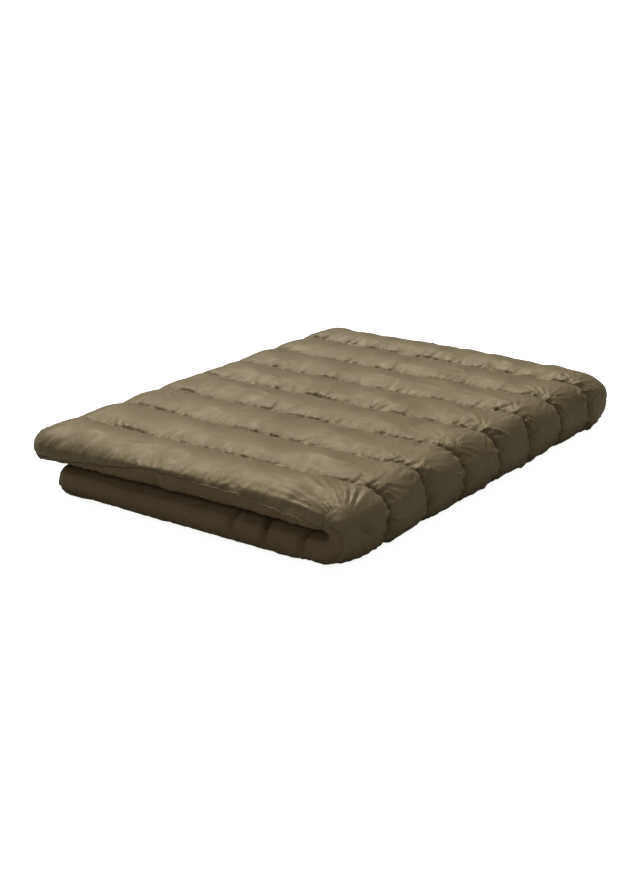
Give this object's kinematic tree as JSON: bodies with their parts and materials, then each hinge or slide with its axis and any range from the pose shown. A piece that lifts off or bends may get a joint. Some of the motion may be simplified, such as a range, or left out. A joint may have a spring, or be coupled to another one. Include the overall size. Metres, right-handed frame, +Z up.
{
  "type": "camp quilt",
  "caption": "Thick channel-stitched camp quilt folded once in half, with shell, lining, baffle walls, down fill and hem; it opens flat at the fold.",
  "frame": {"origin": "middle of the underside of the folded quilt, on the surface it lies on", "axes": "+X towards the fold, +Y along the fold, +Z up"},
  "size_m": [1.03, 1.4, 0.164],
  "materials": {
    "shell_fabric": "satin",
    "lining_fabric": "satin",
    "hem_fabric": "satin",
    "baffle_fabric": "matte",
    "down": "matte"
  },
  "bodies": {
    "lower_half": {"outer_shell_lower": "shell_fabric", "lining_lower": "lining_fabric", "baffle_wall_1_lower": "baffle_fabric", "baffle_wall_2_lower": "baffle_fabric", "baffle_wall_3_lower": "baffle_fabric", "baffle_wall_4_lower": "baffle_fabric", "baffle_wall_5_lower": "baffle_fabric", "baffle_wall_6_lower": "baffle_fabric", "baffle_wall_7_lower": "baffle_fabric", "down_fill_1_lower": "down", "down_fill_2_lower": "down", "down_fill_3_lower": "down", "down_fill_4_lower": "down", "down_fill_5_lower": "down", "down_fill_6_lower": "down", "down_fill_7_lower": "down", "down_fill_8_lower": "down", "hem_lower": "hem_fabric"},
    "fold_spine": {"outer_shell_fold": "shell_fabric", "lining_fold": "lining_fabric", "baffle_wall_1_fold": "baffle_fabric", "baffle_wall_2_fold": "baffle_fabric", "baffle_wall_3_fold": "baffle_fabric", "baffle_wall_4_fold": "baffle_fabric", "baffle_wall_5_fold": "baffle_fabric", "baffle_wall_6_fold": "baffle_fabric", "baffle_wall_7_fold": "baffle_fabric", "down_fill_1_fold": "down", "down_fill_2_fold": "down", "down_fill_3_fold": "down", "down_fill_4_fold": "down", "down_fill_5_fold": "down", "down_fill_6_fold": "down", "down_fill_7_fold": "down", "down_fill_8_fold": "down", "hem_fold_front": "hem_fabric", "hem_fold_back": "hem_fabric"},
    "upper_half": {"outer_shell_upper": "shell_fabric", "lining_upper": "lining_fabric", "baffle_wall_1_upper": "baffle_fabric", "baffle_wall_2_upper": "baffle_fabric", "baffle_wall_3_upper": "baffle_fabric", "baffle_wall_4_upper": "baffle_fabric", "baffle_wall_5_upper": "baffle_fabric", "baffle_wall_6_upper": "baffle_fabric", "baffle_wall_7_upper": "baffle_fabric", "down_fill_1_upper": "down", "down_fill_2_upper": "down", "down_fill_3_upper": "down", "down_fill_4_upper": "down", "down_fill_5_upper": "down", "down_fill_6_upper": "down", "down_fill_7_upper": "down", "down_fill_8_upper": "down", "hem_upper": "hem_fabric"}
  },
  "joints": [
    {"name": "fold_lower_hinge", "type": "hinge", "parent": "lower_half", "child": "fold_spine", "pos_m": [0.49098, 0, 0.02402], "axis": [0, 1, 0], "range_deg": [0, 90]},
    {"name": "fold_upper_hinge", "type": "hinge", "parent": "fold_spine", "child": "upper_half", "pos_m": [0.49098, 0, 0.13998], "axis": [0, 1, 0], "range_deg": [0, 90]}
  ],
  "couplings": [
    {"joint": "fold_lower_hinge", "follows": "fold_upper_hinge", "ratio": 1}
  ]
}
